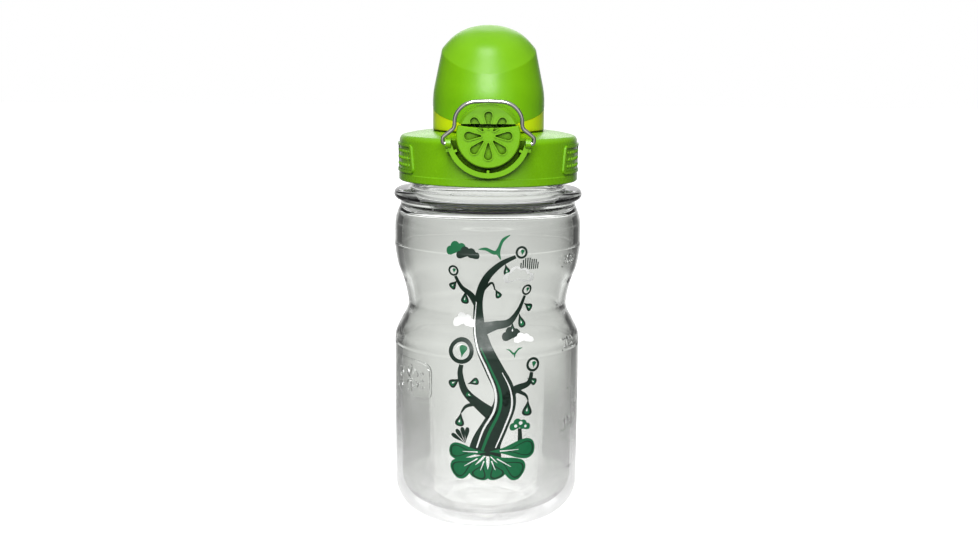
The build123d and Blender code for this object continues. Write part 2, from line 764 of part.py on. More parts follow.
# ================================================================ push button
brow_x = sqrt(DISC_R**2 - (BUTTON_TOP - DISC_Z) ** 2) + 1
brow_z = BUTTON_TOP + 0.15
with BuildPart() as button:
    with BuildSketch(Plane.XZ.offset(-BUTTON_FRONT)):
        with Locations((0, DISC_Z)):
            Circle(DISC_R)
        with BuildLine():
            ThreePointArc(
                (-brow_x, brow_z), (0, BUTTON_TOP - BUTTON_DIP), (brow_x, brow_z)
            )
            Polyline(
                (brow_x, brow_z), (brow_x, CUP_TOP), (-brow_x, CUP_TOP), (-brow_x, brow_z)
            )
        make_face(mode=Mode.SUBTRACT)
    extrude(amount=BUTTON_FRONT - BUTTON_BACK)
    chamfer(button.faces().sort_by(Axis.Y)[0].edges(), BUTTON_BEVEL)
    for side in (-1, 1):
        with BuildSketch(Plane.XZ.offset(-BUTTON_BACK + EMBED)):
            with Locations((side * (ARM_IN + ARM_OUT) / 2, (ARM_LOW + ARM_HIGH) / 2)):
                Rectangle(ARM_OUT - ARM_IN, ARM_HIGH - ARM_LOW)
        extrude(amount=BUTTON_BACK - BAR_BACK - EMBED)
    with BuildSketch(Plane.XZ.offset(-BAR_FRONT)):
        with Locations((0, (BAR_LOW + ARM_HIGH) / 2)):
            Rectangle(2 * ARM_OUT, ARM_HIGH - BAR_LOW)
    extrude(amount=BAR_FRONT - BAR_BACK)
    with BuildSketch(Plane.XZ.offset(-BUTTON_FRONT)):
        with Locations((0, DISC_Z)):
            add(rosette(0))
    extrude(amount=-PETAL_DEPTH, mode=Mode.SUBTRACT)
    with BuildSketch(Plane.XZ.offset(-BUTTON_FRONT)):
        with Locations((0, DISC_Z)):
            add(rosette(OUTLINE))
            add(rosette(0), mode=Mode.SUBTRACT)
        with Locations((0, BUTTON_TOP - BUTTON_DIP - 0.4)):
            Rectangle(CUT, CUT, align=(Align.CENTER, Align.MIN), mode=Mode.SUBTRACT)
    extrude(amount=OUTLINE_H)
button.part.label = "button"
export_step(button.part, "parts/button.step")

# ================================================================ button spring
spring_low = BAR_BACK + SPRING_WIRE_R + SPRING_END_GAP
spring_high = SPRING_STOP_FRONT - SPRING_WIRE_R - SPRING_END_GAP
spring_start = Plane(
    origin=(0, spring_low, SPRING_Z), x_dir=(1, 0, 0), z_dir=(0, 1, 0)
)
spring_path = spring_start * Helix(
    pitch=(spring_high - spring_low) / SPRING_TURNS,
    height=spring_high - spring_low,
    radius=SPRING_COIL_R,
)
with BuildPart() as button_spring:
    with BuildSketch(Plane(origin=spring_path @ 0, z_dir=spring_path % 0)):
        Circle(SPRING_WIRE_R)
    sweep(path=spring_path, is_frenet=True)
button_spring.part.label = "button_spring"
export_step(button_spring.part, "parts/button_spring.step")

# ================================================================ wire bail
bail_plane = Plane(
    origin=(0, PIVOT_Y, PIVOT_Z),
    x_dir=(1, 0, 0),
    z_dir=(0, -cos(BAIL_LEAN), -sin(BAIL_LEAN)),
)
with BuildPart() as wire_bail:
    with BuildLine(bail_plane) as bail_path:
        FilletPolyline(
            (0, BAIL_TOP), *BAIL_CORNERS, (BAIL_END_X, 0), radius=BAIL_RADII
        )
    half_path = bail_path.wires()[0]
    with BuildSketch(Plane(origin=half_path @ 0, z_dir=half_path % 0)):
        Circle(WIRE_R)
    sweep(path=half_path)
    mirror(about=Plane.YZ)
wire_bail.part.label = "wire_bail"
export_step(wire_bail.part, "parts/wire_bail.step")
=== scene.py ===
import bpy
import bmesh
import math
from mathutils import Matrix, Vector
from mathutils.geometry import tessellate_polygon


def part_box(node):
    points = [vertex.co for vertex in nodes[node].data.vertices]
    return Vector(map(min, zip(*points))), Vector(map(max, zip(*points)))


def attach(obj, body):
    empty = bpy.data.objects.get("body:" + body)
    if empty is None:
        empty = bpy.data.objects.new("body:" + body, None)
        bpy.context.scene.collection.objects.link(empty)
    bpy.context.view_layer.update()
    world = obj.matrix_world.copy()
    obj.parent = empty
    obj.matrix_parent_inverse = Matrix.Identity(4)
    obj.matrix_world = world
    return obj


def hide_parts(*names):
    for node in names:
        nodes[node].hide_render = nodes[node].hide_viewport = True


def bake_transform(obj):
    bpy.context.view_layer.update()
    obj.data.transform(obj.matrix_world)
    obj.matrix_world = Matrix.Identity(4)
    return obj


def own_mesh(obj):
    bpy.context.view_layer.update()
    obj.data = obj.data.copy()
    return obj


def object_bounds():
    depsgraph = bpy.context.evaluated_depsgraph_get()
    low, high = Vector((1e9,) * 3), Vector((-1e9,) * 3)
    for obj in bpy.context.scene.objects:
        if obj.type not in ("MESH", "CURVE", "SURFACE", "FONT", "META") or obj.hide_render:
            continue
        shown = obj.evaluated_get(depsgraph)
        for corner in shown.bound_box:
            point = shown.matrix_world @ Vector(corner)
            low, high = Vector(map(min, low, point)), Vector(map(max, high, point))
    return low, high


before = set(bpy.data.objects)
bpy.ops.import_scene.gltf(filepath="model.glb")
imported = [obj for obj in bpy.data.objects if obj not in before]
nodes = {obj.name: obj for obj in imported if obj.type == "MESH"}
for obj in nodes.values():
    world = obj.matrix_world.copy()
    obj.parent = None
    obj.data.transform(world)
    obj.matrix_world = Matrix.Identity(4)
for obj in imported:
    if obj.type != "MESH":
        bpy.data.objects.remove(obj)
cad_lo, cad_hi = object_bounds()
MM = 0.001

# ---------------------------------------------------------------- driving sizes, mm
# the ring under the cap is the widest place and stands this far outside the body
RING_PROUD = 0.15
BODY_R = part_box("bottle")[1].x / MM - RING_PROUD
WALL = 2.6
RIM_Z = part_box("bottle")[1].z / MM
# radius, height
WAIST = [
    (35.2, 67.6),
    (34.75, 70.6),
    (32.7, 75.0),
    (30.4, 79.6),
    (30.2, 83.4),
    (31.75, 90.4),
    (34.0, 96.6),
    (35.1, 103.4),
]
UPPER_R = 35.1
GROOVE_R = 32.95
NECK_R = 28.8
THREAD_R = 30.3
THREAD_Z = 131.5
PITCH = 5.0
TURNS = 1.5
# the ridge of the thread: half its width at the foot, its flank, the turns its ends fade over
RIDGE_HALF = 1.3
RIDGE_FLANK = 0.7
RIDGE_FADE = 0.05
SEGMENTS = 240
# the button's spring: radius of the coil and of the wire, and its number of turns
COIL_R = 0.95
COIL_WIRE = 0.2
COIL_TURNS = 5

# ---------------------------------------------------------------- light and material settings
# the floor's own glow for the camera, so that it reads as white paper
FLOOR_LIFT = 0.92
# the room as (matt, glossy) surfaces see it; the panel stands in front, behind the camera
ROOM = (0.05, 0.12)
BACKDROP = (0.06, 0.80)
CEILING = (0.22, 0.40)
BOUNCE = (0.12, 0.10)
PANEL = (0.0, 0.70)
# the card seen through the clear wall, angles in degrees: it dims above one angle,
# ends below another, and a white table takes over lower down
CEILING_EDGE = 12.0
CEILING_SOFT = 6.0
CEILING_DIM = 0.70
TABLE_EDGE = (-26.0, -18.0)
TABLE_LEVEL = 0.78
# lower and upper angle, brightness at each
CARD_FALL = (-21.0, -5.0, 1.00, 0.70)
# where the sides are darker: middle angle, full half width, half width where it ends,
# and the brightness outside it
SIDE_BAND = (-4.0, 6.0, 18.0, 0.92)
CARD_TINT = (0.98, 1.0, 0.965, 1.0)
# degrees to the side as the camera sees it, brightness
SIDE_LIT = [
    (-64, 0.04),
    (-42, 0.10),
    (-21, 0.20),
    (-15, 0.58),
    (-11, 0.76),
    (-7.5, 0.88),
    (-4.0, 1.0),
    (-1.6, 1.0),
    (0.0, 0.98),
    (1.6, 0.96),
    (4.0, 0.94),
    (7.5, 0.86),
    (11, 0.74),
    (15, 0.56),
    (21, 0.18),
    (42, 0.08),
    (64, 0.04),
]
# clear wall: bounces before light counts as trapped, and the painted glow, an emission put in
# place of the trapped light, by height, m
TRAPPED_AFTER = 9.0
PAINTED_GLOW_LOW = 0.020
PAINTED_GLOW_HIGH = 0.070
PAINTED_GLOW_FOOT = 0.80
PAINTED_GLOW_TOP = 0.22
# clear wall: share of plain see-through at the foot, fading out between two heights, m
FOOT_LOW = 0.014
FOOT_HIGH = 0.058
FOOT_CLEAR = 0.62
# how far an opening is searched for nearby walls, m, and the painted shade deep inside, as a
# share of the plastic's colour
HOLLOW_REACH = 0.0045
HOLLOW_SHADE = 0.10
# the camera: place in m, how far it looks down and leans, degrees, lens and sensor, mm
CAMERA_AT = (0.0006, -0.480, 0.174)
CAMERA_DIP = 9.75
CAMERA_ROLL = 0.42
LENS = 46.94
SENSOR = 36.0


# ---------------------------------------------------------------- helpers
def add(name, data):
    """A new object in the scene."""
    made = bpy.data.objects.new(name, data)
    bpy.context.scene.collection.objects.link(made)
    return made


def srgb(r, g, b, a=1.0):
    def lin(v):
        v = v / 255
        return v / 12.92 if v <= 0.04045 else ((v + 0.055) / 1.055) ** 2.4

    return (lin(r), lin(g), lin(b), a)


class Graph:
    """A small wrapper that makes and links shader nodes."""

    def __init__(self, name):
        self.mat = bpy.data.materials.new(name)
        self.mat.use_nodes = True
        self.tree = self.mat.node_tree
        self.tree.nodes.clear()
        self.out = self.tree.nodes.new("ShaderNodeOutputMaterial")

    def node(self, kind, settings=None, **inputs):
        made = self.tree.nodes.new("ShaderNode" + kind)
        for key, value in (settings or {}).items():
            setattr(made, key, value)
        for key, value in inputs.items():
            self.put(made, key.replace("_", " "), value)
        return made

    def put(self, made, key, value):
        socket = made.inputs[int(key[1:]) if key[:1] == "i" and key[1:].isdigit() else key]
        if isinstance(value, bpy.types.NodeSocket):
            self.tree.links.new(value, socket)
        else:
            socket.default_value = value

    def noise(self, scale, detail=3.0, rough=0.5):
        made = self.node("TexNoise", Scale=scale, Detail=detail, Roughness=rough)
        self.put(made, "Vector", self.coords())
        return made.outputs["Fac"]

    def coords(self):
        if not hasattr(self, "_coords"):
            self._coords = self.node("TexCoord").outputs["Object"]
        return self._coords

    def math(self, operation, a, b=0.0):
        made = self.node("Math", {"operation": operation})
        self.put(made, "i0", a)
        self.put(made, "i1", b)
        return made.outputs[0]

    def ramp(self, value, low, high, to_low, to_high):
        made = self.node("MapRange", {"interpolation_type": "SMOOTHSTEP"}, Value=value)
        self.put(made, "From Min", low)
        self.put(made, "From Max", high)
        self.put(made, "To Min", to_low)
        self.put(made, "To Max", to_high)
        return made.outputs[0]

    def mix(self, factor, a, b):
        made = self.node("Mix", {"data_type": "RGBA"})
        self.put(made, "i0", factor)
        self.put(made, "i6", a)
        self.put(made, "i7", b)
        return made.outputs[2]

    def bump(self, height, strength, distance, normal=None):
        made = self.node("Bump", Height=height, Strength=strength, Distance=distance)
        if normal is not None:
            self.put(made, "Normal", normal)
        return made.outputs["Normal"]

    def finish(self, surface):
        self.tree.links.new(surface, self.out.inputs["Surface"])
        return self.mat


def moulded_plastic(name, colour, shade, rough, grain, scatter, gloss):
    """Injection moulded plastic: fine spark texture, faint flow clouding, handling scuffs, and
    painted shade in narrow recesses.
    """
    g = Graph(name)
    clouds = g.noise(60.0, 4.0, 0.6)
    scuffs = g.noise(900.0, 6.0, 0.7)
    fine = g.noise(5200.0, 2.0, 0.5)
    base = g.mix(g.ramp(clouds, 0.35, 0.7, 0.0, 1.0), colour, shade)
    # painted shade: the colour darkens and the shine drops in narrow recesses, where less light
    # reaches
    nearby = g.node("AmbientOcclusion", {"samples": 6}, Distance=HOLLOW_REACH)
    unshaded_by_recess = g.ramp(nearby.outputs["AO"], 0.25, 0.75, 0.0, 1.0)
    recess_shade_colour = tuple(c * HOLLOW_SHADE for c in colour[:3]) + (1.0,)
    roughness = g.ramp(scuffs, 0.45, 0.75, rough - 0.04, rough + 0.07)
    normal = g.bump(fine, grain, 0.00006)
    normal = g.bump(g.noise(240.0, 2.0), 0.04, 0.0003, normal)
    shader = g.node(
        "BsdfPrincipled",
        {"subsurface_method": "RANDOM_WALK"},
        Base_Color=g.mix(unshaded_by_recess, recess_shade_colour, base),
        Roughness=roughness,
        Normal=normal,
        IOR=1.49,
    )
    shader.inputs["Subsurface Weight"].default_value = scatter
    shader.inputs["Subsurface Radius"].default_value = (0.6, 1.0, 0.25)
    shader.inputs["Subsurface Scale"].default_value = 0.0016
    # painted shade: recesses also lose their shine
    g.put(shader, "Specular IOR Level", g.math("MULTIPLY", unshaded_by_recess, gloss))
    return g.finish(shader.outputs[0])


def clear_plastic(name, tint=None, low=0.0, high=0.0):
    """Clear copolyester; if a tint is given, painted shade: a faint grey between two heights that
    darkens the view through the wall.
    """
    g = Graph(name)
    place = g.node("SeparateXYZ", Vector=g.coords())
    height = place.outputs["Z"]
    clear = (0.985, 0.99, 0.985, 1.0)
    if tint:
        # painted shade: the grey is laid only between the two heights
        painted_shade_band = g.math(
            "MULTIPLY",
            g.ramp(height, (low - 3) * MM, (low + 4) * MM, 0.0, 1.0),
            g.ramp(height, (high - 5) * MM, (high + 2) * MM, 1.0, 0.0),
        )
        colour = g.mix(painted_shade_band, clear, tint)
    else:
        colour = clear
    smears = g.noise(45.0, 3.0, 0.55)
    rough = g.ramp(smears, 0.4, 0.8, 0.0, 0.03)
    ripple = g.node("TexNoise", Scale=1.0, Detail=1.5)
    stretched = g.node("Mapping", Vector=g.coords())
    stretched.inputs["Scale"].default_value = (70.0, 70.0, 9.0)
    g.put(ripple, "Vector", stretched.outputs[0])
    normal = g.bump(ripple.outputs["Fac"], 0.25, 0.00035)
    shader = g.node(
        "BsdfPrincipled",
        Base_Color=colour,
        Roughness=rough,
        Normal=normal,
        IOR=1.5,
    )
    shader.inputs["Transmission Weight"].default_value = 1.0
    # painted light: after many bounces the wall gives out a soft emitted glow, brighter at the
    # foot, in place of the light still caught in it
    bounces = g.node("LightPath").outputs["Ray Depth"]
    caught = g.math("GREATER_THAN", bounces, TRAPPED_AFTER)
    glow = g.node(
        "Emission",
        Color=(0.97, 1.0, 0.98, 1.0),
        Strength=g.ramp(height, PAINTED_GLOW_LOW, PAINTED_GLOW_HIGH, PAINTED_GLOW_FOOT, PAINTED_GLOW_TOP),
    )
    both = g.node("MixShader")
    g.put(both, "i0", caught)
    g.put(both, "i1", shader.outputs[0])
    g.put(both, "i2", glow.outputs[0])
    # the foot stands on white paper and picks up its brightness
    foot = g.node("MixShader")
    g.put(foot, "i0", g.ramp(height, FOOT_LOW, FOOT_HIGH, FOOT_CLEAR, 0.0))
    g.put(foot, "i1", both.outputs[0])
    g.put(foot, "i2", g.node("BsdfTransparent").outputs[0])
    return g.finish(foot.outputs[0])


def metal(name, colour, rough, drawn):
    """Drawn wire: fine streaks, a slightly uneven polish and painted shade that darkens the edges
    where the surface turns away from view.
    """
    g = Graph(name)
    streak = g.noise(1500.0, 5.0, 0.7)
    cloud = g.noise(120.0, 3.0)
    base = g.mix(g.ramp(cloud, 0.35, 0.7, 0.0, 0.5), colour, srgb(150, 148, 142))
    facing = g.node("LayerWeight", Blend=0.5).outputs["Facing"]
    # painted shade: the colour goes dark towards the edges, where the wire turns away from view
    base = g.mix(g.ramp(facing, 0.32, 0.80, 0.0, 0.85), base, srgb(26, 28, 28))
    shader = g.node(
        "BsdfPrincipled",
        Base_Color=base,
        Metallic=1.0,
        Roughness=g.ramp(streak, 0.3, 0.75, rough, rough + 0.1),
        Normal=g.bump(streak, drawn, 0.00003),
    )
    return g.finish(shader.outputs[0])


def ink(name, colour, shade, rough=0.38):
    """Screen printed ink: slightly uneven density and a soft orange-peel surface."""
    g = Graph(name)
    base = g.mix(g.ramp(g.noise(700.0, 5.0, 0.65), 0.4, 0.75, 0.0, 1.0), colour, shade)
    shader = g.node(
        "BsdfPrincipled",
        Base_Color=base,
        Roughness=g.ramp(g.noise(400.0), 0.3, 0.7, rough - 0.05, rough + 0.08),
        Normal=g.bump(g.noise(3000.0), 0.15, 0.00003),
    )
    return g.finish(shader.outputs[0])


def silicone(name):
    g = Graph(name)
    dust = g.noise(1800.0, 6.0, 0.7)
    base = g.mix(g.ramp(dust, 0.5, 0.8, 0.0, 0.6), srgb(228, 228, 222), srgb(205, 204, 196))
    shader = g.node(
        "BsdfPrincipled",
        Base_Color=base,
        Roughness=g.ramp(g.noise(500.0), 0.3, 0.7, 0.42, 0.58),
        Normal=g.bump(dust, 0.2, 0.00004),
    )
    shader.inputs["Subsurface Weight"].default_value = 0.5
    shader.inputs["Subsurface Scale"].default_value = 0.0012
    return g.finish(shader.outputs[0])


LEAF = moulded_plastic(
    "leaf_green",
    srgb(124, 190, 8),
    srgb(118, 184, 6),
    rough=0.30,
    grain=0.05,
    scatter=0.0,
    gloss=0.4,
)
HOOD = moulded_plastic(
    "hood_green",
    srgb(124, 190, 6),
    srgb(118, 184, 4),
    rough=0.36,
    grain=0.12,
    scatter=0.05,
    gloss=0.45,
)
LIME = moulded_plastic(
    "lime_yellow",
    srgb(216, 238, 10),
    srgb(208, 231, 6),
    rough=0.34,
    grain=0.08,
    scatter=0.15,
    gloss=0.4,
)
CLEAR = clear_plastic("clear_outside")
# painted shade: the inside of the wall is tinted grey between 8 and 118 mm
CLEAR_PAINTED_SHADE = clear_plastic("clear_inside", tint=(0.93, 0.935, 0.92, 1.0), low=8.0, high=118.0)
WIRE = metal("stainless_wire", srgb(222, 222, 216), rough=0.08, drawn=0.1)
SPRING = metal("spring_steel", srgb(180, 180, 178), rough=0.24, drawn=0.3)
SILICONE = silicone("silicone")
DARK_INK = ink("print_dark_green", srgb(7, 34, 23), srgb(10, 42, 28))
MID_INK = ink("print_mid_green", srgb(16, 106, 64), srgb(20, 114, 70))
WHITE_INK = ink("print_white", srgb(250, 252, 250), srgb(244, 247, 243))

for node_name, material in {
    "cap": LEAF,
    "hood": HOOD,
    "button": LEAF,
    "mouthpiece": LIME,
    "cap_gasket": SILICONE,
    "mouthpiece_oring": SILICONE,
    "hood_seal": SILICONE,
    "hinge_pin": SPRING,
    "hinge_spring": SPRING,
    "button_spring": SPRING,
    "wire_bail": WIRE,
}.items():
    nodes[node_name].data.materials.clear()
    nodes[node_name].data.materials.append(material)


# ---------------------------------------------------------------- the clear bottle
def arc(cx, cz, r, start, end, steps):
    """Points on an arc, angles in degrees from the +radius direction."""
    return [
        (
            cx + r * math.cos(math.radians(start + (end - start) * k / steps)),
            cz + r * math.sin(math.radians(start + (end - start) * k / steps)),
        )
        for k in range(steps + 1)
    ]


def smooth(points, steps, closed=False):
    """Catmull-Rom curve through points."""
    count = len(points)
    made = []
    for k in range(count if closed else count - 1):
        if closed:
            p = [points[(k + j - 1) % count] for j in range(4)]
        else:
            p = [points[min(max(k + j - 1, 0), count - 1)] for j in range(4)]
        for s in range(steps):
            t = s / steps
            made.append(
                tuple(
                    0.5
                    * (
                        2 * p[1][i]
                        + (p[2][i] - p[0][i]) * t
                        + (2 * p[0][i] - 5 * p[1][i] + 4 * p[2][i] - p[3][i]) * t * t
                        + (3 * p[1][i] - p[0][i] - 3 * p[2][i] + p[3][i]) * t**3
                    )
                    for i in range(2)
                )
            )
    if not closed:
        made.append(points[-1])
    return made


def steps_between(a, b, count):
    return [
        (a[0] + (b[0] - a[0]) * k / count, a[1] + (b[1] - a[1]) * k / count)
        for k in range(count + 1)
    ]


waist_curve = smooth([(35.2, 66.0)] + WAIST + [(35.1, 105.0)], 8)
outer = (
    [(0.0, 2.4)]
    + steps_between((1.0, 2.4), (8.0, 2.4), 3)
    + [(8.6, 1.95), (9.0, 1.75), (9.4, 1.95), (10.0, 2.4), (14.0, 2.4)]
    + smooth([(14.4, 2.35), (16.4, 1.2), (18.6, 0.05)], 5)
    + [(19.6, 0.0)]
    + arc(BODY_R - 12.3, 12.3, 12.3, -90, 0, 28)
    + steps_between((BODY_R, 14.0), (BODY_R, 65.0), 12)
    + waist_curve
    + [(UPPER_R, 107.0)]
    + smooth(
        [(35.1, 110.6), (34.95, 113.2), (34.45, 115.4), (33.5, 117.8), (32.97, 119.0)], 6
    )
    + [(GROOVE_R, 119.6), (GROOVE_R, 120.6)]
    + arc(GROOVE_R + 0.35, 123.1, 2.05, -84, 84, 16)
    + [(32.6, 125.25), (30.4, 125.4)]
    + arc(29.7, 126.3, 0.9, -90, -180, 5)
)
outer_neck = steps_between((NECK_R, 127.0), (NECK_R, RIM_Z - 0.8), 56)
rim = arc(NECK_R - 0.6, RIM_Z - 0.6, 0.6, 0, 90, 5) + [(26.6, RIM_Z), (26.2, RIM_Z - 0.3)]
inner = (
    [(26.2, 138.0), (26.2, 130.0)]
    + smooth(
        [
            (26.2, 124.5),
            (26.35, 122.6),
            (27.4, 119.9),
            (29.9, 117.6),
            (31.7, 115.0),
            (32.4, 111.6),
        ],
        6,
    )
    + [(UPPER_R - WALL, 109.0)]
    + [(r - WALL, z) for r, z in reversed(waist_curve)]
    + steps_between((BODY_R - WALL, 64.0), (BODY_R - WALL, 15.5), 8)
    + arc(BODY_R - WALL - 9.0, 14.4, 9.0, 0, -90, 22)
    + [(20.0, 5.75), (14.0, 6.2), (8.0, 6.48), (3.0, 6.58), (0.0, 6.6)]
)
profile = outer + outer_neck + rim + inner
first_inner = len(outer) + len(outer_neck) + len(rim)
neck_from, neck_to = len(outer), len(outer) + len(outer_neck)


def thread_height(angle, z):
    """How far the screw ridge stands out of the neck at an angle and height."""
    turn = (angle % (2 * math.pi)) / (2 * math.pi)
    best = 0.0
    for whole in range(3):
        wound = turn + whole
        if wound > TURNS:
            continue
        fade = min(1.0, wound / RIDGE_FADE, (TURNS - wound) / RIDGE_FADE)
        away = abs(z - THREAD_Z - PITCH * wound)
        best = max(best, fade * min(1.0, max(0.0, (RIDGE_HALF - away) / RIDGE_FLANK)))
    return best * (THREAD_R - NECK_R)


def lathe(name, points, materials, split_at):
    verts, faces, mats, rings = [], [], [], []
    for k, (r, z) in enumerate(points):
        if r < 1e-6:
            rings.append([len(verts)])
            verts.append((0.0, 0.0, z * MM))
            continue
        ring = []
        for s in range(SEGMENTS):
            a = 2 * math.pi * s / SEGMENTS
            grow = thread_height(a, z) if neck_from <= k < neck_to else 0.0
            ring.append(len(verts))
            verts.append(((r + grow) * MM * math.cos(a), (r + grow) * MM * math.sin(a), z * MM))
        rings.append(ring)
    for k in range(len(points) - 1):
        low, high = rings[k], rings[k + 1]
        for s in range(SEGMENTS):
            t = (s + 1) % SEGMENTS
            if len(low) == 1:
                faces.append((low[0], high[t], high[s]))
            elif len(high) == 1:
                faces.append((low[s], low[t], high[0]))
            else:
                faces.append((low[s], low[t], high[t], high[s]))
            mats.append(1 if k >= split_at else 0)
    mesh = bpy.data.meshes.new(name)
    mesh.from_pydata(verts, [], faces)
    for m in materials:
        mesh.materials.append(m)
    mesh.polygons.foreach_set("material_index", mats)
    mesh.polygons.foreach_set("use_smooth", [True] * len(faces))
    mesh.update()
    return add(name, mesh)


bottle = lathe("bottle_clear_shell", profile, (CLEAR, CLEAR_PAINTED_SHADE), first_inner)
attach(bottle, "bottle")
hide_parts("bottle")
bottle.visible_shadow = False


# ---------------------------------------------------------------- button spring
def coil(name, low, high, radius, wire, turns, steps=28, sides=10):
    """A compression spring of round wire along Y, between two corners of its box."""
    cx, cz = (low.x + high.x) / 2, (low.z + high.z) / 2
    start, length = low.y + wire, high.y - low.y - 2 * wire
    verts, faces = [], []
    count = int(turns * steps)
    for k in range(count + 1):
        a = 2 * math.pi * k / steps
        out = Vector((math.cos(a), 0.0, math.sin(a)))
        centre = Vector((cx, start + length * k / count, cz)) + radius * out
        for n in range(sides):
            b = 2 * math.pi * n / sides
            verts.append(centre + wire * (math.cos(b) * out + math.sin(b) * Vector((0, 1, 0))))
    for k in range(count):
        for n in range(sides):
            m = (n + 1) % sides
            faces.append((k * sides + n, k * sides + m, (k + 1) * sides + m, (k + 1) * sides + n))
    faces.append(tuple(range(sides - 1, -1, -1)))
    faces.append(tuple(count * sides + n for n in range(sides)))
    mesh = bpy.data.meshes.new(name)
    mesh.from_pydata(verts, [], faces)
    mesh.polygons.foreach_set("use_smooth", [True] * len(faces))
    mesh.materials.append(SPRING)
    mesh.update()
    return add(name, mesh)


spring_lo, spring_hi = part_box("button_spring")
spring = coil(
    "button_return_coil", spring_lo, spring_hi, COIL_R * MM, COIL_WIRE * MM, COIL_TURNS
)
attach(spring, "cap")
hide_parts("button_spring")
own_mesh(spring)


# ---------------------------------------------------------------- hinge spring
# a copy of the hinge spring in its place, with its placement baked into the mesh
winding = add("hinge_winding_spring", nodes["hinge_spring"].data.copy())
winding.matrix_world = nodes["hinge_spring"].matrix_world.copy()
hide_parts("hinge_spring")
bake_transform(winding)


# ---------------------------------------------------------------- printed picture
def skin_radius(z):
    """Outside radius of the bottle at a height."""
    best = BODY_R
    for a, b in zip(outer, outer[1:]):
        if a[1] <= z <= b[1] and a[0] > 25 and b[1] > a[1]:
            best = a[0] + (b[0] - a[0]) * (z - a[1]) / (b[1] - a[1])
    return best


def wrap(name, polygons, lift, material, turn=0.0, depth=0.0, cell=1.4):
    """Flat outlines, (across, height) in mm, laid on the bottle's outside.

    They are cut into cells first, so that they follow the curve, and may be given a depth.
    """
    made = bmesh.new()
    for outline in polygons:
        loops = outline if isinstance(outline[0], list) else [outline]
        flat = [p for loop in loops for p in loop]
        corners = [made.verts.new((u, 0.0, z)) for u, z in flat]
        for tri in tessellate_polygon([[Vector((u, z, 0)) for u, z in loop] for loop in loops]):
            try:
                made.faces.new([corners[i] for i in tri])
            except ValueError:
                pass
    for axis, normal in ((0, (1, 0, 0)), (2, (0, 0, 1))):
        values = [v.co[axis] for v in made.verts]
        cut = math.floor(min(values) / cell) * cell + cell
        while cut < max(values):
            spot = [0.0, 0.0, 0.0]
            spot[axis] = cut
            bmesh.ops.bisect_plane(
                made,
                geom=made.verts[:] + made.edges[:] + made.faces[:],
                dist=1e-5,
                plane_co=spot,
                plane_no=normal,
            )
            cut += cell
    if depth:
        grown = bmesh.ops.extrude_face_region(made, geom=made.faces[:])
        for v in grown["geom"]:
            if isinstance(v, bmesh.types.BMVert):
                v.co.y = depth
    for v in made.verts:
        angle = turn + v.co.x / BODY_R
        r = (skin_radius(v.co.z) + lift + v.co.y) * MM
        v.co = Vector((r * math.sin(angle), -r * math.cos(angle), v.co.z * MM))
    bmesh.ops.recalc_face_normals(made, faces=made.faces[:])
    mesh = bpy.data.meshes.new(name)
    made.to_mesh(mesh)
    made.free()
    mesh.materials.append(material)
    piece = add(name, mesh)
    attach(piece, "bottle")
    return piece


def disc(u, z, r, count=40):
    return [
        (
            u + r * math.cos(2 * math.pi * k / count),
            z + r * math.sin(2 * math.pi * k / count),
        )
        for k in range(count)
    ]


def ring(u, z, r, width):
    return [disc(u, z, r), list(reversed(disc(u, z, r - width)))]


def drop(u, z, angle, length, width):
    """A leaf or drop whose point sits at u, z and whose round end lies along angle."""
    half = [(0, 0), (0.3, 0.16), (0.6, 0.42), (0.82, 0.5), (0.96, 0.32), (1.0, 0.0)]
    curve = smooth(half, 6)
    flat = curve + [(x, -y) for x, y in reversed(curve[1:-1])]
    c, s = math.cos(math.radians(angle)), math.sin(math.radians(angle))
    return [
        (u + x * length * c - y * width * s, z + x * length * s + y * width * c)
        for x, y in flat
    ]


def vine(points, widths, steps=10):
    """A tapering stroke along a curve."""
    line = smooth(points, steps)
    spread = smooth([(w, 0) for w in widths], steps)
    left, right = [], []
    for k, (u, z) in enumerate(line):
        a, b = line[max(k - 1, 0)], line[min(k + 1, len(line) - 1)]
        du, dz = b[0] - a[0], b[1] - a[1]
        size = math.hypot(du, dz) or 1.0
        half = spread[k][0] / 2
        left.append((u - dz / size * half, z + du / size * half))
        right.append((u + dz / size * half, z - du / size * half))
    return left + right[::-1]


PUFFS = ((-0.33, 0.12, 0.16), (-0.12, 0.25, 0.20), (0.14, 0.20, 0.19), (0.35, 0.10, 0.14))


def cloud(u, z, width, height):
    """A flat-bottomed cloud: the outline round four overlapping puffs."""
    made = []
    for k in range(96):
        a = 2 * math.pi * k / 96
        c, s = math.cos(a), math.sin(a)
        reach = 0.0
        for x, y, r in PUFFS:
            y -= 0.1
            along, off = x * c + y * s, x * s - y * c
            if abs(off) < r:
                reach = max(reach, along + math.sqrt(r * r - off * off))
        if s < 0:
            reach = min(reach, -0.12 / s)
        made.append((u + width * reach * c, z + height * (0.12 + reach * s) / 0.45))
    return made


def outline_of(shape, width):
    """A band along the inside of a closed outline."""
    cu = sum(p[0] for p in shape) / len(shape)
    cz = sum(p[1] for p in shape) / len(shape)
    reach = max(math.hypot(p[0] - cu, p[1] - cz) for p in shape)
    k = 1 - width / reach * 1.35
    return [shape, [(cu + (p[0] - cu) * k, cz + (p[1] - cz) * k) for p in reversed(shape)]]


def bird(u, z, span, tilt):
    """A plain gliding bird: two tapered wings and a short tail."""
    flat = smooth(
        [
            (-0.5, 0.16),
            (-0.28, 0.17),
            (-0.06, 0.02),
            (0.04, 0.07),
            (0.24, 0.3),
            (0.5, 0.34),
            (0.26, 0.2),
            (0.1, -0.05),
            (0.06, -0.28),
            (-0.02, -0.12),
            (-0.12, -0.08),
            (-0.3, 0.08),
        ],
        5,
        True,
    )
    c, s = math.cos(math.radians(tilt)), math.sin(math.radians(tilt))
    return [
        (u + span * (x * c - y * s), z + span * (x * s + y * c)) for x, y in flat
    ]


dark, mid, white, dark_top = [], [], [], []

